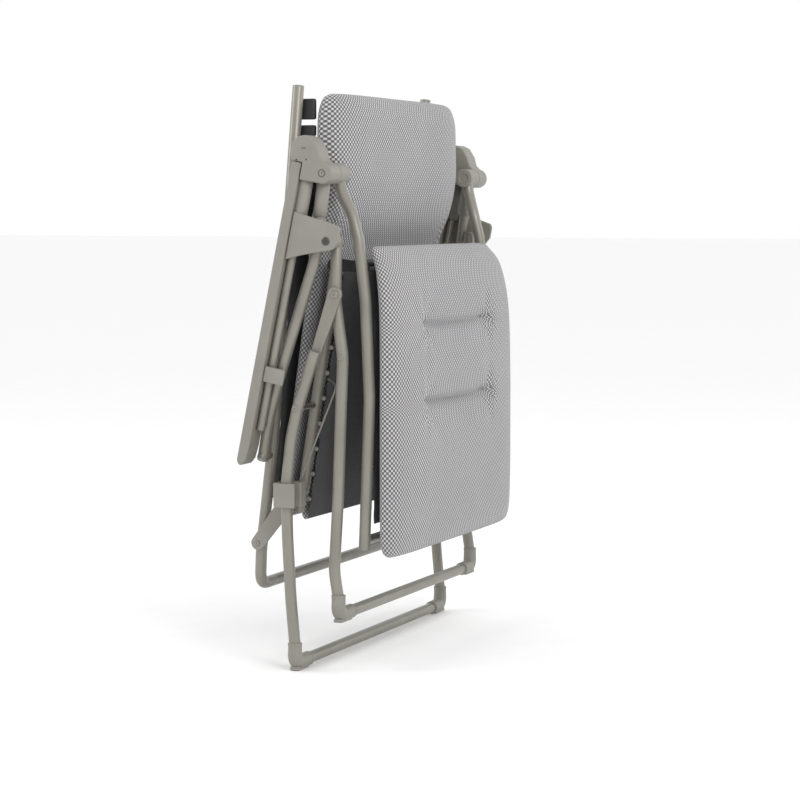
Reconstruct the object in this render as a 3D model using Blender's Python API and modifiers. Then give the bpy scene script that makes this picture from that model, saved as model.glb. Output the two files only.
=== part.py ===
"""Folded zero gravity recliner, metres, +Z up, front towards -Y, side L at -X and side R at +X.

Every side profile below is written as (y, z) in a drawing frame whose y = 0 is over the rear floor bar;
Y_SHIFT moves the drawing so that the origin sits under the middle of the whole chair.
"""
import math

import bmesh
import bpy
from mathutils import Vector

# ---- driving sizes -------------------------------------------------------------------------------
Y_SHIFT = 0.0335         # drawing frame to part frame
TUBE_R = 0.0095           # 19 mm round steel tube
GAP = 0.0003              # between pieces that touch
X_SEAT = 0.2520           # centre planes of the nested side tubes, from the middle outwards
X_BACK = 0.2760
X_LEGREST = 0.2760
X_FRONT_LEG = 0.3000
X_REAR_LEG = 0.3220
ARM_IN, ARM_OUT = 0.3130, 0.3530
SEG = 12                  # sides of a tube

# ---- pivots (y, z) -------------------------------------------------------------------------------
P_LEGS = (-0.066, 0.617)      # front leg on rear leg
P_SEAT = (-0.002, 0.432)      # seat frame on rear leg
P_HIP = (0.087, 0.202)        # back frame on the hip link
P_KNEE = (-0.041, 0.664)      # legrest frame on the seat frame
P_ARM = (0.068, 0.349)        # armrest on the back frame
P_HUB = (-0.060, 0.811)       # legrest hub in the armrest's front end
P_LOCK = (-0.065, 0.703)      # front leg on the armrest's locking slider

# ---- side profiles (y, z) ------------------------------------------------------------------------
REAR_LEG = [(-0.0335, 0.5250), (-0.002, 0.432), (0.010, 0.379), (0.019, 0.300), (0.0165, 0.215),
            (0.011, 0.116), (0.004, 0.0466)]
FRONT_LEG = [(-0.0625, 0.7080), (-0.0600, 0.607), (-0.073, 0.515), (-0.070, 0.445), (-0.064, 0.282),
             (-0.057, 0.165), (-0.0640, 0.1275)]
SEAT_SIDE = [(0.0300, 0.2550), (0.0190, 0.2960), (-0.0410, 0.6700)]
BACK_SIDE = [(0.0160, 0.9560), (0.0640, 0.3720), (0.0865, 0.1900), (0.0890, 0.1310)]
LEGREST_SIDE = [(-0.0605, 0.8100), (-0.0650, 0.7850), (-0.0800, 0.7450), (-0.0905, 0.7050),
                (-0.1025, 0.6080), (-0.1095, 0.4470), (-0.1035, 0.2840), (-0.1000, 0.1990)]
ARM_O = Vector((-0.006, 0.832))            # armrest's top surface at its front end
ARM_U = Vector((0.2023, -0.9793))          # along the armrest, front to rear
ARM_N = Vector((-0.9793, -0.2023))         # away from its top surface

for old in list(bpy.data.objects):
    bpy.data.objects.remove(old, do_unlink=True)
SCENE = bpy.context.scene.collection


def material(name, colour, metallic, rough):
    mat = bpy.data.materials.new(name)
    mat.use_nodes = True
    shader = mat.node_tree.nodes["Principled BSDF"]
    shader.inputs["Base Color"].default_value = (*colour, 1)
    shader.inputs["Metallic"].default_value = metallic
    shader.inputs["Roughness"].default_value = rough
    return mat


FRAME_PAINT = material("frame_paint", (0.36, 0.35, 0.31), 0.55, 0.42)
PLASTIC = material("grey_plastic", (0.36, 0.355, 0.32), 0.0, 0.55)
ARM_PLASTIC = material("armrest_plastic", (0.37, 0.365, 0.33), 0.0, 0.5)
PAD = material("pad_mesh", (0.42, 0.42, 0.45), 0.0, 0.9)
SLING = material("sling_cloth", (0.03, 0.03, 0.033), 0.0, 0.85)
STEEL = material("bare_steel", (0.6, 0.6, 0.6), 1.0, 0.3)
BLACK = material("black_plastic", (0.015, 0.015, 0.016), 0.0, 0.5)


def finish_mesh(name, bm, mat, bevel=0.0):
    bmesh.ops.recalc_face_normals(bm, faces=bm.faces)
    if bm.calc_volume(signed=True) < 0:
        bmesh.ops.reverse_faces(bm, faces=bm.faces)
    mesh = bpy.data.meshes.new(name)
    bm.to_mesh(mesh)
    bm.free()
    mesh.materials.append(mat)
    for face in mesh.polygons:
        face.use_smooth = False
    obj = bpy.data.objects.new(name, mesh)
    SCENE.objects.link(obj)
    if bevel:
        mod = obj.modifiers.new("bevel", "BEVEL")
        mod.width, mod.segments, mod.limit_method, mod.angle_limit = bevel, 1, "ANGLE", 0.7
        mod.harden_normals = False
    return obj


def at(x, yz):
    return Vector((x, yz[0] + Y_SHIFT, yz[1]))


def rounded(points, radius, steps=4):
    """The polyline with each inner corner replaced by a short curve."""
    points = [Vector(p) for p in points]
    out = [points[0]]
    for a, b, c in zip(points, points[1:], points[2:]):
        back, ahead = (a - b), (c - b)
        turn = math.pi - back.angle(ahead)
        cut = min(radius * math.tan(turn / 2) if turn < 3 else radius, back.length * 0.45, ahead.length * 0.45)
        if turn < 0.02:
            out.append(b)
            continue
        start, end = b + back.normalized() * cut, b + ahead.normalized() * cut
        count = max(2, min(steps, round(turn / 0.25) + 1))
        for i in range(count + 1):
            t = i / count
            out.append(start * (1 - t) ** 2 + b * 2 * t * (1 - t) + end * t * t)
    out.append(points[-1])
    return out


def tube(name, points, radius, mat, bend=0.05, seg=SEG):
    path = rounded(points, bend)
    bm = bmesh.new()
    rings, side = [], None
    for i, here in enumerate(path):
        before, after = path[max(i - 1, 0)], path[min(i + 1, len(path) - 1)]
        ahead = (after - before).normalized()
        if side is None:
            side = ahead.orthogonal().normalized()
        side = (side - ahead * side.dot(ahead)).normalized()
        up = ahead.cross(side)
        rings.append([bm.verts.new(here + side * radius * math.cos(a) + up * radius * math.sin(a))
                      for a in (2 * math.pi * k / seg for k in range(seg))])
    for one, two in zip(rings, rings[1:]):
        for k in range(seg):
            bm.faces.new((one[k], one[(k + 1) % seg], two[(k + 1) % seg], two[k]))
    bm.faces.new(rings[0])
    bm.faces.new(rings[-1])
    return finish_mesh(name, bm, mat)


def side_tube(name, sign, x, profile, mat=None, radius=TUBE_R, bend=0.05):
    return tube(name, [at(sign * x, p) for p in profile], radius, mat or FRAME_PAINT, bend)


def plate(name, outline, x0, x1, mat, bevel=0.0):
    """A flat piece with this (y, z) outline, standing between the planes x0 and x1."""
    bm = bmesh.new()
    one = [bm.verts.new(at(x0, p)) for p in outline]
    two = [bm.verts.new(at(x1, p)) for p in outline]
    bm.faces.new(one)
    bm.faces.new(two)
    for k in range(len(outline)):
        j = (k + 1) % len(outline)
        bm.faces.new((one[k], one[j], two[j], two[k]))
    return finish_mesh(name, bm, mat, bevel)


def disc(centre, radius, count=16, start=0.0, end=2 * math.pi):
    full = abs(end - start - 2 * math.pi) < 1e-6
    return [(centre[0] + radius * math.cos(start + (end - start) * k / (count if full else count - 1)),
             centre[1] + radius * math.sin(start + (end - start) * k / (count if full else count - 1)))
            for k in range(count)]


def drum(name, centre, radius, x0, x1, mat, count=16, bevel=0.0):
    return plate(name, disc(centre, radius, count), x0, x1, mat, bevel)


def link_outline(a, ra, b, rb, count=9):
    """The outline of a flat link: a round end about a, a round end about b, joined by straight edges."""
    way = math.atan2(b[1] - a[1], b[0] - a[0])
    return (disc(b, rb, count, way - math.pi / 2, way + math.pi / 2)
            + disc(a, ra, count, way + math.pi / 2, way + 3 * math.pi / 2))


def joined(obj, others):
    """obj made one body with the others, which overlap it clearly."""
    for other in others:
        mod = obj.modifiers.new("join", "BOOLEAN")
        mod.operation, mod.solver, mod.object = "UNION", "EXACT", other
    graph = bpy.context.evaluated_depsgraph_get()
    mesh = bpy.data.meshes.new_from_object(obj.evaluated_get(graph))
    obj.modifiers.clear()
    mesh.name = obj.name
    obj.data = mesh
    for other in others:
        bpy.data.objects.remove(other, do_unlink=True)
    return obj


def pad(name, stations, mat, seg=28, power=5.0):
    """A cushion swept along (y, z) stations: (y, z, half thickness, half width)."""
    bm = bmesh.new()
    rings = []
    for i, (y, z, thick, wide) in enumerate(stations):
        a, b = stations[max(i - 1, 0)], stations[min(i + 1, len(stations) - 1)]
        ahead = Vector((b[0] - a[0], b[1] - a[1])).normalized()
        normal = Vector((-ahead[1], ahead[0]))
        ring = []
        for k in range(seg):
            t = 2 * math.pi * (k + 0.5) / seg
            c, s = math.cos(t), math.sin(t)
            x = wide * math.copysign(abs(c) ** (2 / power), c)
            off = thick * math.copysign(abs(s) ** (2 / 2.6), s)
            ring.append(bm.verts.new(at(x, (y + normal[0] * off, z + normal[1] * off))))
        rings.append(ring)
    for one, two in zip(rings, rings[1:]):
        for k in range(seg):
            bm.faces.new((one[k], one[(k + 1) % seg], two[(k + 1) % seg], two[k]))
    bm.faces.new(rings[0])
    bm.faces.new(rings[-1])
    return finish_mesh(name, bm, mat)


def sheet(name, line, half_width, mat, thick=0.002):
    """A thin cloth between two side tubes, following (y, z) points."""
    left = [Vector(p) for p in line]
    shift = Vector((thick, 0))
    return plate(name, [tuple(p) for p in left] + [tuple(p + shift) for p in reversed(left)],
                 -half_width, half_width, mat)


def on_seat(z, off=0.0):
    t = (z - 0.296) / (0.670 - 0.296)
    return (0.019 - 0.060 * t + off, z)


def on_back(z, off=0.0):
    if z > 0.372:
        return (0.064 - 0.048 * (z - 0.372) / 0.578 + off, z)
    return (0.0865 - 0.0225 * (z - 0.190) / 0.182 + off, z)


def on_arm(along, off):
    p = ARM_O + ARM_U * along + ARM_N * off
    return (p[0], p[1])


# ---- floor bars, shared by both pairs of legs --------------------------------------------------------
def floor_bar(prefix, x, y, z):
    tube(prefix + "_floor_bar", [at(-x + 0.0473, (y, z)), at(x - 0.0473, (y, z))], TUBE_R, FRAME_PAINT)
    for side, sign in (("L", -1), ("R", 1)):
        low = z - 0.0125
        foot = tube(f"{prefix}_foot_{side}", [at(sign * x, (y + 0.001, low)), at(sign * x, (y + 0.001, low + 0.045))],
                    0.0128, PLASTIC, seg=16)
        arm = tube("foot_arm", [at(sign * (x + 0.002), (y + 0.001, z)), at(sign * (x - 0.047), (y + 0.001, z))],
                   0.0119, PLASTIC, seg=16)
        joined(foot, [arm])


floor_bar("rear_leg", X_REAR_LEG, 0.003, 0.0125)
floor_bar("front_leg", X_FRONT_LEG, -0.0655, 0.0925)

# ---- seat sling and pads ------------------------------------------------------------------------------
sheet("seat_sling", [on_seat(0.240, -0.0105), on_seat(0.655, -0.0105)], 0.2400, SLING)
pad("seat_pad", [(*on_seat(0.236, 0.0030), 0.0045, 0.222), (*on_seat(0.245, 0.0034), 0.0085, 0.234),
                 (*on_seat(0.270, 0.0038), 0.0104, 0.238), (*on_seat(0.360, 0.0038), 0.0104, 0.238),
                 (*on_seat(0.450, 0.0038), 0.0104, 0.238), (*on_seat(0.540, 0.0038), 0.0104, 0.238),
                 (*on_seat(0.620, 0.0038), 0.0100, 0.238), (*on_seat(0.642, 0.0034), 0.0085, 0.234),
                 (*on_seat(0.652, 0.0030), 0.0045, 0.222)], PAD)
sheet("back_sling", [on_back(0.275, -0.004), on_back(0.372, -0.004), on_back(0.840, -0.004)], 0.2620, SLING)
pad("back_pad", [(0.0560, 0.242, 0.0050, 0.248), (0.0545, 0.258, 0.0085, 0.256), (0.0515, 0.285, 0.0105, 0.260),
                 (0.0450, 0.340, 0.0120, 0.260), (0.0340, 0.420, 0.0140, 0.260), (0.0180, 0.520, 0.0160, 0.262),
                 (0.0030, 0.610, 0.0185, 0.264), (-0.0040, 0.660, 0.0200, 0.266), (-0.0060, 0.705, 0.0265, 0.270),
                 (-0.0215, 0.755, 0.0315, 0.274), (-0.0300, 0.810, 0.0350, 0.275), (-0.0300, 0.860, 0.0350, 0.275),
                 (-0.0300, 0.905, 0.0335, 0.274), (-0.0295, 0.931, 0.0265, 0.268), (-0.0280, 0.942, 0.0130, 0.256)], PAD)
sheet("legrest_sling", [(-0.1110, 0.240), (-0.1110, 0.560), (-0.1010, 0.655)], 0.2610, SLING)
pad("legrest_pad", [(-0.1380, 0.187, 0.0100, 0.266), (-0.1390, 0.199, 0.0200, 0.280), (-0.1395, 0.228, 0.0245, 0.285),
                    (-0.1400, 0.300, 0.0258, 0.285), (-0.1400, 0.400, 0.0258, 0.285), (-0.1395, 0.500, 0.0254, 0.284),
                    (-0.1365, 0.590, 0.0235, 0.282), (-0.1270, 0.650, 0.0195, 0.276), (-0.1130, 0.680, 0.0150, 0.260),
                    (-0.1050, 0.693, 0.0080, 0.250)], PAD)

# ---- cross members ---------------------------------------------------------------------------------------
tube("back_cross_bar", [at(-0.2247, BACK_SIDE[-1]), at(0.2247, BACK_SIDE[-1])], TUBE_R, FRAME_PAINT)
tube("back_brace", [at(-0.2662, on_back(0.862)), at(0.2662, on_back(0.862))], 0.0070, FRAME_PAINT)
tube("seat_front_bar", [at(-0.2422, (-0.0405, 0.6635)), at(0.2422, (-0.0405, 0.6635))], 0.0060, BLACK)
tube("legrest_bar", [at(-0.2662, (-0.0995, 0.2140)), at(0.2662, (-0.0995, 0.2140))], 0.0070, FRAME_PAINT)

# ---- the two sides --------------------------------------------------------------------------------------
for SIDE, S in (("L", -1), ("R", 1)):
    side_tube(f"rear_leg_side_{SIDE}", S, X_REAR_LEG, REAR_LEG)
    plate(f"rear_leg_ear_{SIDE}", link_outline(P_LEGS, 0.0125, (-0.0365, 0.5345), 0.0085),
          S * 0.3125, S * 0.3185, FRAME_PAINT, 0.0010)
    side_tube(f"front_leg_side_{SIDE}", S, X_FRONT_LEG, FRONT_LEG)

    seat = side_tube(f"seat_side_{SIDE}", S, X_SEAT, SEAT_SIDE)
    joined(seat, [drum("boss", (0.0200, 0.2890), 0.0088, S * X_SEAT, S * 0.2857, FRAME_PAINT),
                  drum("pin", P_SEAT, 0.0050, S * X_SEAT, S * 0.3122, FRAME_PAINT, 12)])
    plate(f"hip_link_{SIDE}", link_outline((0.0205, 0.2880), 0.0150, P_HIP, 0.0120),
          S * 0.2860, S * 0.2901, PLASTIC, 0.0008)
    # storage clip: a channel open to the front that holds the rear leg while the chair is folded
    clip = [(0.2904, -0.0020), (0.3118, -0.0020), (0.3118, 0.0305), (0.3325, 0.0305), (0.3325, -0.0020),
            (0.3375, -0.0020), (0.3375, 0.0330), (0.3330, 0.0380), (0.2904, 0.0380)]
    bm = bmesh.new()
    low = [bm.verts.new(at(S * x, (y, 0.2690))) for x, y in clip]
    high = [bm.verts.new(at(S * x, (y, 0.3090))) for x, y in clip]
    bm.faces.new(low)
    bm.faces.new(high)
    for k in range(len(clip)):
        j = (k + 1) % len(clip)
        bm.faces.new((low[k], low[j], high[j], high[k]))
    finish_mesh(f"leg_clip_{SIDE}", bm, PLASTIC, 0.0010)
    tube(f"stay_rod_{SIDE}", [at(S * 0.2880, (0.0115, 0.3035)), at(S * 0.2880, (-0.0560, 0.4640)),
                              at(S * 0.2680, (-0.0420, 0.4720)), at(S * 0.2520, (-0.0235, 0.4760))],
         0.0018, STEEL, 0.012, 8)

    back = tube(f"back_side_{SIDE}", [at(S * X_BACK, p) for p in BACK_SIDE] + [at(S * 0.2250, BACK_SIDE[-1])],
                TUBE_R, FRAME_PAINT, 0.045)
    joined(back, [drum("boss", P_ARM, 0.0070, S * X_BACK, S * 0.2966, FRAME_PAINT, 12)])

    # armrest: bar, front end with the hub's outer half, two rails below it and their strap
    plate(f"armrest_{SIDE}", [on_arm(0.0004, 0.0006), on_arm(0.0004, 0.0180), on_arm(0.470, 0.0180),
                              on_arm(0.492, 0.0160), on_arm(0.503, 0.0100), on_arm(0.503, 0.0040), on_arm(0.496, 0.0)],
          S * ARM_IN, S * ARM_OUT, ARM_PLASTIC, 0.0030)
    plate(f"armrest_end_{SIDE}", [(-0.0060, 0.8323), (-0.0045, 0.8480), (-0.0085, 0.8620), (-0.0170, 0.8700),
                                  (-0.0300, 0.8725), (-0.0430, 0.8660), (-0.0530, 0.8500), (-0.0570, 0.8345)]
          + disc(P_HUB, 0.0172, 9, math.radians(105), math.radians(290))
          + [(-0.0400, 0.7975), (-0.0195, 0.8010), (-0.0250, 0.8285)],
          S * ARM_IN, S * ARM_OUT, ARM_PLASTIC, 0.0015)
    tube(f"arm_rail_{SIDE}", [at(S * 0.3225, (-0.0512, 0.7900)), at(S * 0.3225, (-0.033, 0.670)),
                              at(S * 0.3225, (0.032, 0.475)), at(S * 0.3180, (0.050, 0.420)),
                              at(S * 0.3065, (0.0655, 0.3620)), at(S * 0.3065, (0.0690, 0.3430))],
         0.0090, FRAME_PAINT, 0.05)
    tube(f"arm_track_{SIDE}", [at(S * 0.3360, on_arm(0.036, 0.0255)), at(S * 0.3360, on_arm(0.440, 0.0255))],
         0.0062, FRAME_PAINT)
    plate(f"arm_strap_{SIDE}", [on_arm(0.334, 0.0187), on_arm(0.334, 0.0540), on_arm(0.360, 0.0540),
                                on_arm(0.360, 0.0187)], S * 0.3430, S * 0.3485, PLASTIC, 0.0012)

    # locking slider, hanging on the front leg's top pivot
    lock = plate(f"lock_slider_{SIDE}", [on_arm(0.079, 0.0190), (-0.0640, 0.7340), (-0.0870, 0.7260),
                                         (-0.0890, 0.7120), (-0.0760, 0.6890), (-0.0220, 0.6810),
                                         on_arm(0.158, 0.0190)], S * 0.3432, S * 0.3490, PLASTIC, 0.0012)
    joined(lock, [drum("boss", P_LOCK, 0.0115, S * 0.3100, S * 0.3460, PLASTIC)])

    # legrest frame and its hub between the two armrest ends
    rest = tube(f"legrest_side_{SIDE}", [at(S * 0.2900, LEGREST_SIDE[0]), at(S * 0.2880, LEGREST_SIDE[1])]
                + [at(S * X_LEGREST, p) for p in LEGREST_SIDE[2:]], TUBE_R, FRAME_PAINT, 0.06)
    joined(rest, [drum("hub", P_HUB, 0.0170, S * 0.2760, S * 0.3126, FRAME_PAINT)])
    plate(f"knee_plate_{SIDE}", link_outline((-0.0965, 0.6600), 0.0080, P_KNEE, 0.0110),
          S * 0.2619, S * 0.2662, BLACK, 0.0008)
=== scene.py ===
"""Looks for the folded zero gravity recliner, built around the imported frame."""
import math

import bmesh
import bpy
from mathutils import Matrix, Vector, noise


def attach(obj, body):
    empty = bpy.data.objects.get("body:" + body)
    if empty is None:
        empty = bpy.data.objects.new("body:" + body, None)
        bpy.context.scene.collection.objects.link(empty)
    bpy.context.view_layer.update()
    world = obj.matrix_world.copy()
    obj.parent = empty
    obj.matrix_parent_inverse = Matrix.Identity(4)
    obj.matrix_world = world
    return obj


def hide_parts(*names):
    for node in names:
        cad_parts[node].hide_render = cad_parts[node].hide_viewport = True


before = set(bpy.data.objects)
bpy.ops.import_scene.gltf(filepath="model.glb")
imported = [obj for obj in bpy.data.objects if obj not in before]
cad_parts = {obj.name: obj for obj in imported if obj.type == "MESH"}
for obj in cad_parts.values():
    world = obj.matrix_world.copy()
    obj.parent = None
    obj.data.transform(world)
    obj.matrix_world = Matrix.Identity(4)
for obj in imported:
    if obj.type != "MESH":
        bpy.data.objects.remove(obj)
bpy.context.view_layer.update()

# Side profiles and pivots are (y, z) in the drawing frame of the CAD; Y_SHIFT moves them to the part frame.
Y_SHIFT = 0.0335
TUBE_R = 0.0095
# centre planes of the nested side tubes
X_SEAT, X_BACK, X_LEGREST, X_FRONT_LEG, X_REAR_LEG = 0.2520, 0.2760, 0.2760, 0.3000, 0.3220
ARM_IN, ARM_OUT = 0.3130, 0.3530
P_LEGS, P_SEAT, P_HIP, P_KNEE = (-0.066, 0.617), (-0.002, 0.432), (0.087, 0.202), (-0.041, 0.664)
P_ARM, P_HUB, P_LOCK = (0.068, 0.349), (-0.060, 0.811), (-0.065, 0.703)
REAR_LEG = [(-0.0335, 0.5250), (-0.002, 0.432), (0.010, 0.379), (0.019, 0.300), (0.0165, 0.215),
            (0.011, 0.116), (0.004, 0.0400)]
FRONT_LEG = [(-0.0625, 0.7080), (-0.0600, 0.607), (-0.073, 0.515), (-0.070, 0.445), (-0.064, 0.282),
             (-0.057, 0.165), (-0.0640, 0.1200)]
SEAT_SIDE = [(0.0300, 0.2550), (0.0190, 0.2960), (-0.0410, 0.6700)]
BACK_SIDE = [(0.0160, 0.9540), (0.0640, 0.3720), (0.0865, 0.1900), (0.0890, 0.1310)]
LEGREST_SIDE = [(-0.0605, 0.8100), (-0.0650, 0.7850), (-0.0800, 0.7450), (-0.0905, 0.7050),
                (-0.1025, 0.6080), (-0.1095, 0.4470), (-0.1035, 0.2840), (-0.1000, 0.1990)]
ARM_O, ARM_U, ARM_N = Vector((-0.006, 0.832)), Vector((0.2023, -0.9793)), Vector((-0.9793, -0.2023))
REAR_BAR, FRONT_BAR = (0.003, 0.0125), (-0.0655, 0.0925)
SEAT_BAR, LEGREST_BAR, HEAD_BRACE_Z = (-0.0405, 0.6635), (-0.0995, 0.2140), 0.862
THIN_BAR_R, SEAT_BAR_R, ROD_R = 0.0070, 0.0060, 0.0018
X_TRACK, X_RAIL = 0.3360, 0.3225          # the two rails under an armrest
STUD_EVERY = {"legrest": 0.040, "seat": 0.042, "back": 0.050}
MESH_PITCH, WEAVE_PITCH = 0.0082, 0.0021
SCENE = bpy.context.scene.collection


# ---- materials ---------------------------------------------------------------------------------------
class Nodes:
    """A short way to write a shader tree."""

    def __init__(self, name):
        self.mat = bpy.data.materials.new(name)
        self.mat.use_nodes = True
        self.tree = self.mat.node_tree
        self.shader = self.tree.nodes["Principled BSDF"]

    def add(self, kind, **values):
        node = self.tree.nodes.new(kind)
        for key, value in values.items():
            setattr(node, key, value)
        return node

    def link(self, a, b):
        self.tree.links.new(a, b)

    def math(self, op, a, b=None):
        node = self.add("ShaderNodeMath", operation=op)
        for slot, value in zip(node.inputs, (a, b)):
            if value is None:
                continue
            if isinstance(value, (int, float)):
                slot.default_value = value
            else:
                self.link(value, slot)
        return node.outputs[0]

    def noise(self, vector, scale, detail=2.0):
        node = self.add("ShaderNodeTexNoise")
        node.inputs["Scale"].default_value = scale
        node.inputs["Detail"].default_value = detail
        self.link(vector, node.inputs["Vector"])
        return node.outputs[0]

    def ramp(self, value, *stops):
        node = self.add("ShaderNodeValToRGB")
        ramp = node.color_ramp
        while len(ramp.elements) < len(stops):
            ramp.elements.new(0.5)
        for element, (pos, colour) in zip(ramp.elements, stops):
            element.position = pos
            element.color = (*colour, 1) if len(colour) == 3 else colour
        self.link(value, node.inputs[0])
        return node.outputs[0]

    def bump(self, height, strength, distance, under=None):
        node = self.add("ShaderNodeBump")
        node.inputs["Strength"].default_value = strength
        node.inputs["Distance"].default_value = distance
        self.link(height, node.inputs["Height"])
        if under:
            self.link(under, node.inputs["Normal"])
        return node.outputs[0]

    def set(self, **values):
        for key, value in values.items():
            self.shader.inputs[key.replace("_", " ")].default_value = value


def painted(name, low, high, rough, grain, metallic):
    n = Nodes(name)
    where = n.add("ShaderNodeTexCoord").outputs["Object"]
    cloud = n.noise(where, 14, 3)
    fine = n.noise(where, 420, 2)
    n.link(n.ramp(cloud, (0.3, low), (0.7, high)), n.shader.inputs["Base Color"])
    spread = n.math("MULTIPLY_ADD", n.noise(where, 60, 3), 0.16)
    spread.node.inputs[2].default_value = rough - 0.08
    n.link(spread, n.shader.inputs["Roughness"])
    n.link(n.bump(fine, grain, 0.0004), n.shader.inputs["Normal"])
    n.set(Metallic=metallic)
    return n.mat


FRAME_PAINT = painted("frame_paint_look", (0.205, 0.196, 0.168), (0.245, 0.235, 0.202), 0.36, 0.10, 0.35)
PLASTIC = painted("grey_plastic_look", (0.205, 0.198, 0.172), (0.240, 0.232, 0.202), 0.48, 0.22, 0.0)
ARM_PLASTIC = painted("armrest_look", (0.200, 0.194, 0.168), (0.232, 0.225, 0.196), 0.46, 0.25, 0.0)
BLACK = painted("black_plastic_look", (0.010, 0.010, 0.011), (0.020, 0.020, 0.021), 0.50, 0.25, 0.0)
STEEL = painted("steel_look", (0.24, 0.23, 0.21), (0.30, 0.29, 0.26), 0.34, 0.05, 0.8)
DARK_BOLT = painted("bolt_look", (0.055, 0.055, 0.052), (0.090, 0.090, 0.086), 0.38, 0.10, 0.6)


def mesh_fabric():
    """Spacer mesh: staggered light knots on a grey ground."""
    n = Nodes("pad_mesh_look")
    uv = n.add("ShaderNodeUVMap", uv_map="UVMap").outputs[0]
    where = n.add("ShaderNodeTexCoord").outputs["Object"]
    split = n.add("ShaderNodeSeparateXYZ")
    n.link(uv, split.inputs[0])
    drift = n.math("MULTIPLY", n.math("SUBTRACT", n.noise(where, 9, 2), 0.5), 0.35)
    a = n.math("SINE", n.math("ADD", n.math("MULTIPLY", split.outputs[0], 2 * math.pi / MESH_PITCH), drift))
    b = n.math("SINE", n.math("ADD", n.math("MULTIPLY", split.outputs[1], 2 * math.pi / MESH_PITCH), drift))
    cells = n.math("MULTIPLY", a, b)
    half = n.math("MULTIPLY_ADD", cells, 0.5)
    half.node.inputs[2].default_value = 0.5
    thread = n.noise(where, 900, 2)
    mixed = n.math("ADD", half, n.math("MULTIPLY", n.math("SUBTRACT", thread, 0.5), 0.16))
    tone = n.ramp(mixed, (0.30, (0.095, 0.093, 0.096)), (0.52, (0.235, 0.231, 0.237)), (0.80, (0.56, 0.553, 0.556)))
    shade = n.ramp(n.noise(where, 5, 3), (0.35, (0.93, 0.93, 0.94)), (0.65, (1.0, 1.0, 1.0)))
    mix = n.add("ShaderNodeMix", data_type="RGBA", blend_type="MULTIPLY")
    mix.inputs[0].default_value = 1.0
    n.link(tone, mix.inputs[6])
    n.link(shade, mix.inputs[7])
    n.link(mix.outputs[2], n.shader.inputs["Base Color"])
    n.link(n.bump(thread, 0.25, 0.0005, n.bump(half, 0.75, 0.0011)), n.shader.inputs["Normal"])
    n.set(Roughness=0.86, Sheen_Weight=0.25, Sheen_Roughness=0.5)
    n.shader.inputs["Specular IOR Level"].default_value = 0.25
    return n.mat


def sling_fabric():
    """Plain close-woven black cloth, its colour darkened below the cloth's own black as painted shade for the dark
    space between the tubes.
    """
    n = Nodes("sling_cloth_with_painted_shade_look")
    where = n.add("ShaderNodeTexCoord").outputs["Object"]
    split = n.add("ShaderNodeSeparateXYZ")
    n.link(where, split.inputs[0])
    a = n.math("SINE", n.math("MULTIPLY", split.outputs[0], 2 * math.pi / WEAVE_PITCH))
    b = n.math("SINE", n.math("MULTIPLY", split.outputs[2], 2 * math.pi / WEAVE_PITCH))
    cells = n.math("MULTIPLY", a, b)
    cloud = n.noise(where, 7, 3)
    # painted shade: the base colour is set darker than the black cloth itself, so the space between the frame tubes
    # reads as deep shadow
    n.link(n.ramp(cloud, (0.3, (0.008, 0.008, 0.009)), (0.7, (0.014, 0.014, 0.015))), n.shader.inputs["Base Color"])
    n.link(n.bump(cells, 0.5, 0.0004), n.shader.inputs["Normal"])
    n.set(Roughness=0.75, Sheen_Weight=0.2)
    return n.mat


MESH = mesh_fabric()
SLING = sling_fabric()


# ---- shapes ---------------------------------------------------------------------------------------------
def at(x, yz):
    return Vector((x, yz[0] + Y_SHIFT, yz[1]))


def made(name, bm, mat, sharp=0.7, bevel=0.0, segments=3):
    bmesh.ops.recalc_face_normals(bm, faces=bm.faces)
    if bm.calc_volume(signed=True) < 0:
        bmesh.ops.reverse_faces(bm, faces=bm.faces)
    mesh = bpy.data.meshes.new(name)
    bm.to_mesh(mesh)
    bm.free()
    mesh.materials.append(mat)
    mesh.shade_smooth()
    mesh.set_sharp_from_angle(angle=sharp)
    obj = bpy.data.objects.new(name, mesh)
    SCENE.objects.link(obj)
    if bevel:
        mod = obj.modifiers.new("bevel", "BEVEL")
        mod.width, mod.segments, mod.limit_method, mod.angle_limit = bevel, segments, "ANGLE", 0.6
        mod.harden_normals = True
    return obj


def put(obj, body, slot, *nodes):
    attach(obj, body)
    if nodes:
        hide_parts(*nodes)
    return obj


def rounded(points, radius, steps=9):
    points = [Vector(p) for p in points]
    out = [points[0]]
    for a, b, c in zip(points, points[1:], points[2:]):
        back, ahead = (a - b), (c - b)
        turn = math.pi - back.angle(ahead)
        if turn < 0.01:
            out.append(b)
            continue
        cut = min(radius * math.tan(turn / 2) if turn < 3 else radius, back.length * 0.46, ahead.length * 0.46)
        cut = max(cut, min(0.012, back.length * 0.4, ahead.length * 0.4))
        start, end = b + back.normalized() * cut, b + ahead.normalized() * cut
        for i in range(steps + 1):
            t = i / steps
            out.append(start * (1 - t) ** 2 + b * 2 * t * (1 - t) + end * t * t)
    out.append(points[-1])
    return out


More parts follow.
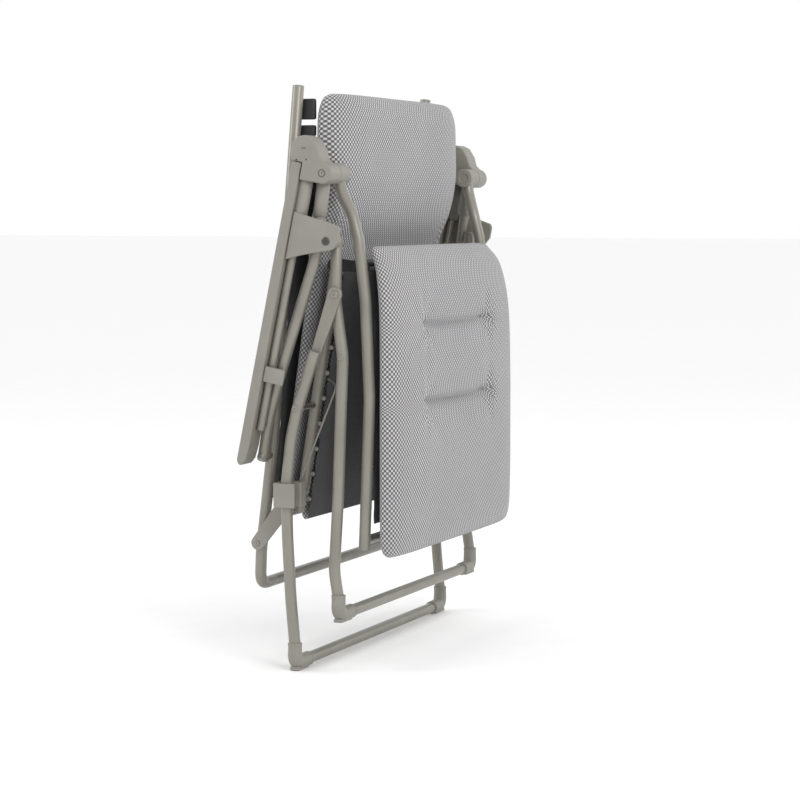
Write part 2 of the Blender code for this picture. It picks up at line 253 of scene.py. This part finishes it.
def tube(name, points, radius, mat, bend=0.05, seg=28, cap=0.0):
    """A round tube along a polyline; radius may be a function of how far along it is; cap domes both ends."""
    path = rounded(points, bend)
    size = radius if callable(radius) else (lambda t: radius)
    bm = bmesh.new()
    rings, side, total, run = [], None, 0.0, [0.0]
    for a, b in zip(path, path[1:]):
        total += (b - a).length
        run.append(total)
    for i, here in enumerate(path):
        ahead = (path[min(i + 1, len(path) - 1)] - path[max(i - 1, 0)]).normalized()
        if side is None:
            side = ahead.orthogonal().normalized()
        side = (side - ahead * side.dot(ahead)).normalized()
        up = ahead.cross(side)
        r = size(run[i] / total)
        spots = [(here, r)]
        if cap and i in (0, len(path) - 1):
            out = -ahead if i == 0 else ahead
            dome = [(here + out * cap * math.sin(q), r * math.cos(q)) for q in (0.35, 0.75, 1.15)]
            spots = list(reversed(dome)) + spots if i == 0 else spots + dome
        for centre, rr in spots:
            rings.append([bm.verts.new(centre + side * rr * math.cos(k) + up * rr * math.sin(k))
                          for k in (2 * math.pi * j / seg for j in range(seg))])
    for one, two in zip(rings, rings[1:]):
        for k in range(seg):
            bm.faces.new((one[k], one[(k + 1) % seg], two[(k + 1) % seg], two[k]))
    bm.faces.new(rings[0])
    bm.faces.new(rings[-1])
    return made(name, bm, mat, 0.9)


def plate(name, outline, x0, x1, mat, bevel=0.0015, segments=3):
    bm = bmesh.new()
    one = [bm.verts.new(at(x0, p)) for p in outline]
    two = [bm.verts.new(at(x1, p)) for p in outline]
    bm.faces.new(one)
    bm.faces.new(two)
    for k in range(len(outline)):
        j = (k + 1) % len(outline)
        bm.faces.new((one[k], one[j], two[j], two[k]))
    return made(name, bm, mat, 0.6, bevel, segments)


def disc(centre, radius, count=32, start=0.0, end=2 * math.pi):
    full = abs(end - start - 2 * math.pi) < 1e-6
    return [(centre[0] + radius * math.cos(start + (end - start) * k / (count if full else count - 1)),
             centre[1] + radius * math.sin(start + (end - start) * k / (count if full else count - 1)))
            for k in range(count)]


def turned(name, centre, profile, sign, mat, seg=28):
    """A piece turned about an axis along X at (y, z) centre: profile is [(x, radius)], from the middle outwards."""
    bm = bmesh.new()
    rings = []
    for x, r in profile:
        rings.append([bm.verts.new(at(sign * x, (centre[0] + r * math.cos(a), centre[1] + r * math.sin(a))))
                      for a in (2 * math.pi * k / seg for k in range(seg))])
    for one, two in zip(rings, rings[1:]):
        for k in range(seg):
            bm.faces.new((one[k], one[(k + 1) % seg], two[(k + 1) % seg], two[k]))
    bm.faces.new(rings[0])
    bm.faces.new(rings[-1])
    return made(name, bm, mat, 0.5)


def rivet(name, centre, x, sign, radius, mat=None, tall=0.0022):
    """A domed rivet head with a dimple, standing on the plane x."""
    return turned(name, centre, [(x - 0.0006, radius), (x + tall * 0.35, radius), (x + tall * 0.8, radius * 0.86),
                                 (x + tall, radius * 0.55), (x + tall * 0.95, radius * 0.36),
                                 (x + tall * 0.45, radius * 0.26), (x + tall * 0.4, radius * 0.02)],
                  sign, mat or STEEL)


def link_outline(a, ra, b, rb, count=17):
    way = math.atan2(b[1] - a[1], b[0] - a[0])
    return (disc(b, rb, count, way - math.pi / 2, way + math.pi / 2)
            + disc(a, ra, count, way + math.pi / 2, way + 3 * math.pi / 2))


def on_seat(z, off=0.0):
    return (0.019 - 0.060 * (z - 0.296) / 0.374 + off, z)


def on_back(z, off=0.0):
    if z > 0.372:
        return (0.064 - 0.048 * (z - 0.372) / 0.578 + off, z)
    return (0.0865 - 0.0225 * (z - 0.190) / 0.182 + off, z)


def on_arm(along, off):
    p = ARM_O + ARM_U * along + ARM_N * off
    return (p[0], p[1])


def smooth(a, b, t):
    t = min(1.0, max(0.0, (t - a) / (b - a)))
    return t * t * (3 - 2 * t)


# ---- pads --------------------------------------------------------------------------------------------------
def spline(stations, count):
    """Catmull-Rom through the stations, evenly spread."""
    out = []
    last = len(stations) - 1
    for i in range(count):
        s = i / (count - 1) * last
        k = min(int(s), last - 1)
        t = s - k
        p = [stations[max(k - 1, 0)], stations[k], stations[k + 1], stations[min(k + 2, last)]]
        out.append([0.5 * (2 * b + (c - a) * t + (2 * a - 5 * b + 4 * c - d) * t * t
                           + (3 * b - a - 3 * c + d) * t ** 3) for a, b, c, d in zip(*p)])
    return out


def pad(name, stations, dent, rings_n=190, seg=170, power=5.5, puff=2.5):
    """A cushion swept along (y, z, half thickness, half width) stations.

    dent(x, z, front) gives how far the skin is drawn in there; front is 1 on the face towards -normal,
    -1 on the other face and 0 at the side edges.
    """
    path = spline(stations, rings_n)
    bm = bmesh.new()
    uv = bm.loops.layers.uv.new("UVMap")
    rings, marks, along = [], [], 0.0
    for i, (y, z, thick, wide) in enumerate(path):
        a, b = path[max(i - 1, 0)], path[min(i + 1, rings_n - 1)]
        ahead = Vector((b[0] - a[0], b[1] - a[1])).normalized()
        normal = Vector((-ahead[1], ahead[0]))
        if i:
            along += math.hypot(path[i][0] - path[i - 1][0], path[i][1] - path[i - 1][1])
        ring, spots = [], []
        for k in range(seg):
            t = 2 * math.pi * (k + 0.5) / seg
            c, s = math.cos(t), math.sin(t)
            x = wide * math.copysign(abs(c) ** (2 / power), c)
            front = math.copysign(abs(s) ** (2 / puff), s)
            off = thick * front
            off -= math.copysign(dent(x, z, front), front) if abs(front) > 0.02 else 0.0
            spot = at(x, (y + normal[0] * off, z + normal[1] * off))
            ring.append(bm.verts.new(spot))
            spots.append(spot)
        rings.append(ring)
        marks.append(spots)
    mid = marks[len(marks) // 2]
    run = [0.0]
    for k in range(seg):
        run.append(run[-1] + (mid[(k + 1) % seg] - mid[k]).length)
    lengths = [0.0]
    for i in range(1, rings_n):
        lengths.append(lengths[-1] + (marks[i][seg // 4] - marks[i - 1][seg // 4]).length)
    for i in range(rings_n - 1):
        for k in range(seg):
            face = bm.faces.new((rings[i][k], rings[i][(k + 1) % seg], rings[i + 1][(k + 1) % seg], rings[i + 1][k]))
            for loop, (p, q) in zip(face.loops, ((k, i), (k + 1, i), (k + 1, i + 1), (k, i + 1))):
                loop[uv].uv = (run[p], lengths[q])
    for ring in (rings[0], rings[-1]):
        bm.faces.new(ring)
    return made(name, bm, MESH, 3.1)


def channel(x, z, z0, half, wide=0.010, deep=0.010, bow=0.0):
    """A sewn channel across the pad at height z0: drawn in, fading at both ends."""
    inside = 1 - smooth(half - 0.030, half + 0.012, abs(x))
    gap = z - (z0 + bow * (x / half) ** 2)
    crease, dip = math.exp(-(gap / (wide * 0.55)) ** 2), math.exp(-(gap / (wide * 3.2)) ** 2)
    return inside * deep * (crease * 0.50 + dip * 0.50)


def legrest_dent(x, z, front):
    if front < 0.25:   # the face on the sling stays flat
        return 0.0
    drawn = channel(x, z, 0.560, 0.165, deep=0.0200, bow=0.006) + channel(x, z, 0.430, 0.165, deep=0.0240, bow=0.006)
    pucker = 0.0
    for z0 in (0.560, 0.430):
        for x0 in (-0.150, 0.150):
            reach = math.hypot(x - x0, z - z0)
            turn = math.atan2(z - z0, x - x0)
            pucker += 0.0024 * math.exp(-(reach / 0.050) ** 2) * math.cos(turn * 7)
    soft = 0.0011 * noise.noise(Vector((x * 9, z * 9, 3.1)))
    return drawn * smooth(0.25, 0.7, front) + pucker + soft


def back_dent(x, z, front):
    soft = 0.0012 * noise.noise(Vector((x * 8, z * 8, 7.7)))
    if z < 0.69:
        return soft * 0.5
    gather = 0.0
    for x0 in (-0.235, 0.235):
        gather += 0.0016 * math.exp(-((x - x0) / 0.040) ** 2) * math.exp(-((z - 0.715) / 0.035) ** 2) \
            * math.cos((x - x0) * 330)
    return (soft + gather) * (1 if abs(front) > 0.3 else 0.3)


def seat_dent(x, z, front):
    return 0.0006 * noise.noise(Vector((x * 9, z * 9, 1.3)))


LEGREST_PAD = [(-0.1380, 0.1865, 0.0030, 0.262), (-0.1385, 0.1890, 0.0130, 0.272), (-0.1390, 0.1990, 0.0202, 0.281),
               (-0.1395, 0.2280, 0.0243, 0.285), (-0.1400, 0.3000, 0.0256, 0.285), (-0.1400, 0.4000, 0.0256, 0.285),
               (-0.1395, 0.5000, 0.0252, 0.284), (-0.1365, 0.5900, 0.0233, 0.282), (-0.1270, 0.6500, 0.0193, 0.276),
               (-0.1130, 0.6780, 0.0155, 0.264), (-0.1070, 0.6880, 0.0115, 0.258), (-0.1050, 0.6930, 0.0030, 0.246)]
BACK_PAD = [(0.0560, 0.2415, 0.0015, 0.246), (0.0556, 0.2460, 0.0055, 0.252), (0.0545, 0.2580, 0.0085, 0.256),
            (0.0515, 0.2850, 0.0104, 0.260), (0.0450, 0.3400, 0.0118, 0.260), (0.0340, 0.4200, 0.0138, 0.260),
            (0.0180, 0.5200, 0.0158, 0.262), (0.0030, 0.6100, 0.0183, 0.264), (-0.0040, 0.6600, 0.0200, 0.266),
            (-0.0060, 0.7050, 0.0265, 0.270), (-0.0215, 0.7550, 0.0315, 0.274), (-0.0300, 0.8100, 0.0350, 0.275),
            (-0.0300, 0.8600, 0.0350, 0.275), (-0.0300, 0.9050, 0.0330, 0.274), (-0.0296, 0.9280, 0.0265, 0.268),
            (-0.0288, 0.9380, 0.0180, 0.260), (-0.0280, 0.9415, 0.0050, 0.248)]
SEAT_PAD = [(*on_seat(0.2360, 0.0030), 0.0015, 0.220), (*on_seat(0.2395, 0.0032), 0.0060, 0.228),
            (*on_seat(0.2500, 0.0036), 0.0090, 0.235), (*on_seat(0.2700, 0.0038), 0.0103, 0.238),
            (*on_seat(0.3600, 0.0038), 0.0103, 0.238), (*on_seat(0.4500, 0.0038), 0.0103, 0.238),
            (*on_seat(0.5400, 0.0038), 0.0103, 0.238), (*on_seat(0.6200, 0.0038), 0.0099, 0.238),
            (*on_seat(0.6400, 0.0036), 0.0085, 0.234), (*on_seat(0.6480, 0.0032), 0.0060, 0.228),
            (*on_seat(0.6520, 0.0030), 0.0015, 0.220)]

for name, stations, dent, body, node in (
        ("legrest_cushion", LEGREST_PAD, legrest_dent, "legrest", "legrest_pad"),
        ("back_cushion", BACK_PAD, back_dent, "back", "back_pad"),
        ("seat_cushion", SEAT_PAD, seat_dent, "seat", "seat_pad")):
    cushion = put(pad(name, stations, dent), body, "pad_mesh", node)

# ---- slings -----------------------------------------------------------------------------------------------
def sling(name, line, half, body, node, cols=64, rows=72):
    """A stretched cloth between two side tubes, with its edges drawn in between the studs."""
    points = [Vector(p) for p in line]
    runs = [(b - a).length for a, b in zip(points, points[1:])]
    total = sum(runs)
    bm = bmesh.new()
    grid = []
    for r in range(rows + 1):
        t, k = r / rows * total, 0
        while k < len(runs) - 1 and t > runs[k]:
            t -= runs[k]
            k += 1
        spot = points[k].lerp(points[k + 1], min(t / runs[k], 1.0))
        scallop = 0.0022 * math.sin(math.pi * spot[1] / 0.042) ** 2
        row = []
        for c in range(cols + 1):
            u = c / cols * 2 - 1
            wave = 0.0005 * noise.noise(Vector((u * 5, spot[1] * 14, 2.2))) + 0.0007 * (1 - u * u)
            row.append(bm.verts.new(at(u * (half - scallop), (spot[0] + 0.0010 + wave, spot[1]))))
        grid.append(row)
    for a, b in zip(grid, grid[1:]):
        for c in range(cols):
            bm.faces.new((a[c], a[c + 1], b[c + 1], b[c]))
    mesh = bpy.data.meshes.new(name)
    bm.to_mesh(mesh)
    bm.free()
    mesh.materials.append(SLING)
    mesh.shade_smooth()
    obj = bpy.data.objects.new(name, mesh)
    SCENE.objects.link(obj)
    put(obj, body, "sling_cloth", node)


sling("seat_cloth", [on_seat(0.240, -0.0105), on_seat(0.655, -0.0105)], 0.2400, "seat", "seat_sling")
sling("back_cloth", [on_back(0.275, -0.004), on_back(0.372, -0.004), on_back(0.840, -0.004)], 0.2620, "back",
      "back_sling")
sling("legrest_cloth", [(-0.1110, 0.240), (-0.1110, 0.560), (-0.1010, 0.655)], 0.2610, "legrest", "legrest_sling")

# ---- frame ------------------------------------------------------------------------------------------------
def floor_bar(body, x, y, z):
    """A floor bar with a corner cap, its two lips and its sole at each end."""
    put(tube(body + "_bar_look", [at(-x + 0.040, (y, z)), at(x - 0.040, (y, z))], TUBE_R, FRAME_PAINT),
        body, "frame_paint", body + "_floor_bar")
    for side, sign in (("L", -1), ("R", 1)):
        elbow = tube(f"{body}_cap_look_{side}",
                     [at(sign * x, (y + 0.001, z + 0.0325)), at(sign * x, (y + 0.001, z + 0.0004)),
                      at(sign * (x - 0.047), (y, z + 0.0002))],
                     lambda t: 0.0112 + 0.0008 * math.sin(math.pi * t), PLASTIC, 0.020)
        put(elbow, body, "grey_plastic", f"{body}_foot_{side}")
        for tag, ends in (("top", [at(sign * x, (y + 0.001, z + 0.0290)), at(sign * x, (y + 0.001, z + 0.0330))]),
                          ("end", [at(sign * (x - 0.0440), (y, z)), at(sign * (x - 0.0475), (y, z))])):
            put(tube(f"{body}_lip_{tag}_{side}", ends, 0.0118, PLASTIC, cap=0.0008), body, "grey_plastic")
        sole = plate(f"{body}_sole_{side}", [(y - 0.0070, z - 0.0123), (y + 0.0090, z - 0.0123),
                                             (y + 0.0080, z - 0.0060), (y - 0.0060, z - 0.0060)],
                     sign * (x - 0.0380), sign * (x + 0.0040), PLASTIC, 0.0012)
        put(sole, body, "grey_plastic")


def cross_bar(name, half, yz, radius, mat, body, slot, node):
    put(tube(name, [at(-half, yz), at(half, yz)], radius, mat), body, slot, node)


floor_bar("rear_leg", X_REAR_LEG, *REAR_BAR)
floor_bar("front_leg", X_FRONT_LEG, *FRONT_BAR)
cross_bar("back_cross_look", 0.2250, BACK_SIDE[-1], TUBE_R, FRAME_PAINT, "back", "frame_paint", "back_cross_bar")
cross_bar("back_brace_look", 0.2680, on_back(HEAD_BRACE_Z), THIN_BAR_R, FRAME_PAINT, "back", "frame_paint",
          "back_brace")
cross_bar("seat_bar_look", 0.2430, SEAT_BAR, SEAT_BAR_R, BLACK, "seat", "black_plastic", "seat_front_bar")
cross_bar("legrest_bar_look", 0.2680, LEGREST_BAR, THIN_BAR_R, FRAME_PAINT, "legrest", "frame_paint", "legrest_bar")


def studs(name, body, x, line, zs, sign):
    """Small studs along a side tube, each with a short black elastic loop to the cloth beside it."""
    for i, z in enumerate(zs):
        y = line(z)
        profile = [(x - 0.0030, 0.0034), (x - 0.0008, 0.0040), (x + 0.0012, 0.0036), (x + 0.0018, 0.0014)]
        put(turned(f"{name}_stud_{i}", (y, z), profile, sign, PLASTIC, 12), body, "grey_plastic")
        loop = [at(sign * (x - inwards), (y, z + up))
                for inwards, up in ((0.001, 0.003), (0.009, 0.007), (0.009, -0.007), (0.001, -0.003))]
        put(tube(f"{name}_elastic_{i}", loop, 0.0011, BLACK, 0.003, 8), body, "sling_cloth")


def side_tube(name, sign, x, profile, cap=0.0):
    return tube(name, [at(sign * x, p) for p in profile], TUBE_R, FRAME_PAINT, 0.09, cap=cap)


def upright(name, outline, z0, z1, sign, mat, bevel):
    """A piece with this (x, y) outline, standing between the heights z0 and z1."""
    bm = bmesh.new()
    low, high = ([bm.verts.new(at(sign * x, (y, z))) for x, y in outline] for z in (z0, z1))
    bm.faces.new(low)
    bm.faces.new(high)
    for k in range(len(outline)):
        j = (k + 1) % len(outline)
        bm.faces.new((low[k], low[j], high[j], high[k]))
    return made(name, bm, mat, 0.6, bevel, 3)


def handed(body, side):
    return f"{body}_{'left' if side == 'L' else 'right'}"


def legs(side, sign):
    put(side_tube(f"rear_leg_look_{side}", sign, X_REAR_LEG, REAR_LEG), "rear_leg", "frame_paint",
        f"rear_leg_side_{side}")
    ear = plate(f"rear_leg_ear_look_{side}", link_outline(P_LEGS, 0.0125, (-0.0330, 0.5240), 0.0088),
                sign * 0.3125, sign * 0.3185, FRAME_PAINT, 0.0020, 4)
    put(ear, "rear_leg", "frame_paint", f"rear_leg_ear_{side}")
    put(rivet(f"leg_rivet_{side}", P_LEGS, 0.3187, sign, 0.0062), "rear_leg", "frame_paint")
    put(rivet(f"seat_rivet_{side}", P_SEAT, 0.3312, sign, 0.0052), "rear_leg", "frame_paint")
    put(side_tube(f"front_leg_look_{side}", sign, X_FRONT_LEG, FRONT_LEG, cap=0.004), "front_leg", "frame_paint",
        f"front_leg_side_{side}")
    put(rivet(f"stay_rivet_{side}", (-0.0725, 0.5150), 0.3093, sign, 0.0050), "front_leg", "frame_paint")


def seat_frame(side, sign):
    put(side_tube(f"seat_side_look_{side}", sign, X_SEAT, SEAT_SIDE), "seat", "frame_paint", f"seat_side_{side}")
    put(turned(f"seat_boss_{side}", (0.0200, 0.2890), [(X_SEAT, 0.0088), (0.2840, 0.0088), (0.2857, 0.0078)], sign,
               FRAME_PAINT), "seat", "frame_paint")
    put(turned(f"seat_pin_{side}", P_SEAT, [(X_SEAT, 0.0050), (0.3110, 0.0050), (0.3122, 0.0040)], sign, STEEL),
        "seat", "frame_paint")
    put(plate(f"hip_link_look_{side}", link_outline((0.0205, 0.2880), 0.0150, P_HIP, 0.0120),
              sign * 0.2860, sign * 0.2901, PLASTIC, 0.0014, 3), "seat", "grey_plastic", f"hip_link_{side}")
    put(rivet(f"hip_rivet_{side}", P_HIP, 0.2901, sign, 0.0042), "seat", "frame_paint")
    clip = [(0.2904, -0.0020), (0.3118, -0.0020), (0.3118, 0.0305), (0.3325, 0.0305), (0.3325, -0.0020),
            (0.3375, -0.0020), (0.3377, 0.0300), (0.3355, 0.0352), (0.3310, 0.0380), (0.2904, 0.0380)]
    put(upright(f"leg_clip_look_{side}", clip, 0.2690, 0.3090, sign, PLASTIC, 0.0016), "seat", "grey_plastic",
        f"leg_clip_{side}")
    put(tube(f"stay_rod_look_{side}", [at(sign * 0.2880, (0.0115, 0.3035)), at(sign * 0.2880, (-0.0560, 0.4640)),
                                       at(sign * 0.2680, (-0.0420, 0.4720)), at(sign * 0.2520, (-0.0235, 0.4760))],
             ROD_R, STEEL, 0.012, 12), "seat", "bare_steel", f"stay_rod_{side}")


def back_frame(side, sign):
    back = tube(f"back_side_look_{side}", [at(sign * X_BACK, p) for p in BACK_SIDE]
                + [at(sign * 0.2240, BACK_SIDE[-1])],
                TUBE_R, FRAME_PAINT, 0.045, cap=0.0022)
    put(back, "back", "frame_paint", f"back_side_{side}")
    put(turned(f"back_boss_{side}", P_ARM, [(X_BACK, 0.0070), (0.2950, 0.0070), (0.2966, 0.0060)], sign, FRAME_PAINT),
        "back", "frame_paint")


def armrest(side, sign):
    body = handed("armrest", side)
    bar = plate(f"armrest_look_{side}", [on_arm(0.0004, 0.0010), on_arm(0.0004, 0.0180), on_arm(0.470, 0.0180),
                                         on_arm(0.492, 0.0160), on_arm(0.503, 0.0100), on_arm(0.503, 0.0040),
                                         on_arm(0.496, 0.0)], sign * ARM_IN, sign * ARM_OUT, ARM_PLASTIC, 0.0050, 4)
    put(bar, body, "armrest_plastic", f"armrest_{side}")
    end = plate(f"armrest_end_look_{side}",
                [(-0.0060, 0.8323), (-0.0045, 0.8480), (-0.0085, 0.8620), (-0.0170, 0.8700), (-0.0300, 0.8725),
                 (-0.0430, 0.8660), (-0.0530, 0.8500), (-0.0570, 0.8345)]
                + disc(P_HUB, 0.0172, 17, math.radians(105), math.radians(290))
                + [(-0.0400, 0.7975), (-0.0195, 0.8010), (-0.0250, 0.8285)],
                sign * ARM_IN, sign * ARM_OUT, ARM_PLASTIC, 0.0035, 4)
    put(end, body, "armrest_plastic", f"armrest_end_{side}")
    put(turned(f"hub_recess_{side}", P_HUB, [(0.3520, 0.0062), (0.3532, 0.0062), (0.3534, 0.0052), (0.3526, 0.0046)],
               sign, DARK_BOLT), body, "frame_paint")
    put(turned(f"hub_bolt_{side}", P_HUB, [(0.3522, 0.0034), (0.3534, 0.0034), (0.3537, 0.0026), (0.3530, 0.0012)],
               sign, STEEL, 6), body, "frame_paint")
    put(tube(f"arm_rail_look_{side}", [at(sign * X_RAIL, (-0.0505, 0.7950)), at(sign * X_RAIL, (-0.033, 0.670)),
                                       at(sign * X_RAIL, (0.032, 0.475)), at(sign * 0.3180, (0.050, 0.420)),
                                       at(sign * 0.3065, (0.0655, 0.3620)), at(sign * 0.3065, (0.0690, 0.3430))],
             0.0092, FRAME_PAINT, 0.05, cap=0.003), body, "frame_paint", f"arm_rail_{side}")
    put(tube(f"arm_track_look_{side}", [at(sign * X_TRACK, on_arm(0.030, 0.0255)),
                                        at(sign * X_TRACK, on_arm(0.440, 0.0255))],
             0.0066, FRAME_PAINT, cap=0.002), body, "frame_paint", f"arm_track_{side}")
    put(plate(f"arm_strap_look_{side}", [on_arm(0.334, 0.0187), on_arm(0.334, 0.0540), on_arm(0.360, 0.0540),
                                         on_arm(0.360, 0.0187)], sign * 0.3430, sign * 0.3490, PLASTIC, 0.0018, 3),
        body, "grey_plastic", f"arm_strap_{side}")
    put(rivet(f"arm_pivot_rivet_{side}", P_ARM, 0.3155, sign, 0.0062), body, "frame_paint")


def slider(side, sign):
    body = handed("slider", side)
    lock = plate(f"lock_slider_look_{side}", [on_arm(0.079, 0.0190), (-0.0400, 0.7410), (-0.0640, 0.7350),
                                              (-0.0870, 0.7270), (-0.0895, 0.7200), (-0.0860, 0.7010),
                                              (-0.0760, 0.6890), (-0.0500, 0.6850), (-0.0220, 0.6805),
                                              on_arm(0.158, 0.0190)],
                 sign * 0.3432, sign * 0.3490, PLASTIC, 0.0020, 4)
    put(lock, body, "grey_plastic", f"lock_slider_{side}")
    put(turned(f"lock_boss_{side}", P_LOCK, [(0.3100, 0.0105), (0.3110, 0.0115), (0.3440, 0.0115)], sign, PLASTIC),
        body, "grey_plastic")
    put(rivet(f"lock_rivet_{side}", P_LOCK, 0.3490, sign, 0.0068, DARK_BOLT, 0.0018), body, "frame_paint")


def head_bands(side, sign):
    """Two dark bands between the back tube and the headrest."""
    for tag, z0, z1 in (("a", 0.9000, 0.9340), ("b", 0.8730, 0.8910)):
        band = plate(f"head_band_{tag}_{side}", [(0.0190, z0), (0.0190, z1), (-0.0080, z1), (-0.0080, z0)],
                     sign * 0.2560, sign * 0.2655, BLACK, 0.0030, 3)
        put(band, "back", "sling_cloth")


def armrest_details(side, sign):
    """The sleeves round the tops of the rails, and the slot mark and dots on the front end."""
    body = handed("armrest", side)
    for tag, centre, low, high in (("track", X_TRACK, on_arm(0.026, 0.0262), on_arm(0.092, 0.0262)),
                                   ("rail", X_RAIL, (-0.0505, 0.8000), (-0.0430, 0.7430))):
        put(tube(f"{tag}_sleeve_{side}", [at(sign * centre, low), at(sign * centre, high)], 0.0112, PLASTIC,
                 cap=0.002),
            body, "grey_plastic")
    put(plate(f"end_slot_{side}", [(-0.0240, 0.8520), (-0.0330, 0.8520), (-0.0330, 0.8506), (-0.0240, 0.8506)],
              sign * 0.3525, sign * 0.3532, BLACK, 0.0003, 1), body, "armrest_plastic")
    for i, spot in enumerate([(-0.0160, 0.8330), (-0.0330, 0.8330)]):
        put(turned(f"end_dot_{side}_{i}", spot, [(0.3525, 0.0013), (0.3532, 0.0013), (0.3533, 0.0004)], sign, BLACK,
                   12),
            body, "armrest_plastic")


def legrest_frame(side, sign):
    rest = tube(f"legrest_side_look_{side}", [at(sign * 0.2900, LEGREST_SIDE[0]), at(sign * 0.2880, LEGREST_SIDE[1])]
                + [at(sign * X_LEGREST, p) for p in LEGREST_SIDE[2:]], TUBE_R, FRAME_PAINT, 0.10)
    put(rest, "legrest", "frame_paint", f"legrest_side_{side}")
    put(turned(f"legrest_hub_{side}", P_HUB, [(0.2756, 0.0080), (0.2740, 0.0092), (0.2742, 0.0150), (0.2760, 0.0170),
                                              (0.3110, 0.0170), (0.3126, 0.0160)], sign, PLASTIC),
        "legrest", "frame_paint")
    put(plate(f"knee_plate_look_{side}", link_outline((-0.0965, 0.6600), 0.0080, P_KNEE, 0.0110), sign * 0.2619,
              sign * 0.2662, BLACK, 0.0010, 2), "legrest", "black_plastic", f"knee_plate_{side}")


def lacing(side, sign):
    def heights(first, body, count):
        return [first + STUD_EVERY[body] * i for i in range(count)]

    studs(f"legrest_{side}", "legrest", 0.2665, lambda z: -0.1090 + 0.405 * max(0.0, abs(z - 0.43) - 0.05) ** 2,
          heights(0.255, "legrest", 10), sign)
    studs(f"seat_{side}", "seat", X_SEAT, lambda z: on_seat(z)[0] - 0.0120, heights(0.275, "seat", 9), sign)
    studs(f"back_{side}", "back", 0.2665, lambda z: on_back(z)[0] + 0.0035, heights(0.290, "back", 11), sign)


for mark, way in (("L", -1), ("R", 1)):
    for build in (legs, seat_frame, back_frame, armrest, slider, head_bands, armrest_details, legrest_frame, lacing):
        build(mark, way)

# ---- stage -------------------------------------------------------------------------------------------------
bm = bmesh.new()
bmesh.ops.create_grid(bm, x_segments=1, y_segments=1, size=60)
floor = made("floor", bm, painted("floor_look", (0.93, 0.93, 0.93), (0.95, 0.95, 0.95), 0.8, 0.02, 0.0))
floor.location.z = -0.0005

world = bpy.data.worlds.new("studio")
bpy.context.scene.world = world
world.use_nodes = True
world.node_tree.nodes["Background"].inputs[0].default_value = (1, 1, 1, 1)
world.node_tree.nodes["Background"].inputs[1].default_value = 1.0


def area(name, where, aim, size, power):
    light = bpy.data.lights.new(name, "AREA")
    light.size, light.energy, light.shape = size, power, "DISK"
    lamp = bpy.data.objects.new(name, light)
    SCENE.objects.link(lamp)
    lamp.location = where
    lamp.rotation_euler = (Vector(aim) - Vector(where)).to_track_quat("-Z", "Y").to_euler()


area("key", (-2.6, -3.0, 2.6), (0, 0, 0.5), 1.6, 60)
area("fill", (2.8, -2.6, 1.8), (0, 0, 0.5), 2.0, 15)
area("rim", (-1.5, 3.0, 2.4), (0, 0, 0.6), 1.5, 30)

lens = bpy.data.cameras.new("camera")
camera = bpy.data.objects.new("camera", lens)
SCENE.objects.link(camera)
lens.sensor_width, lens.lens = 36.0, 108.0
TURN, PITCH = math.radians(22.5976), math.radians(4.5027)
camera.location = (-3.84632, -1.64914 + Y_SHIFT, 0.75107)
look = Vector((math.cos(TURN) * math.cos(PITCH), math.sin(TURN) * math.cos(PITCH), -math.sin(PITCH)))
camera.rotation_euler = look.to_track_quat("-Z", "Y").to_euler()
lens.clip_end = 200
bpy.context.scene.camera = camera
bpy.context.scene.view_settings.view_transform = "Standard"
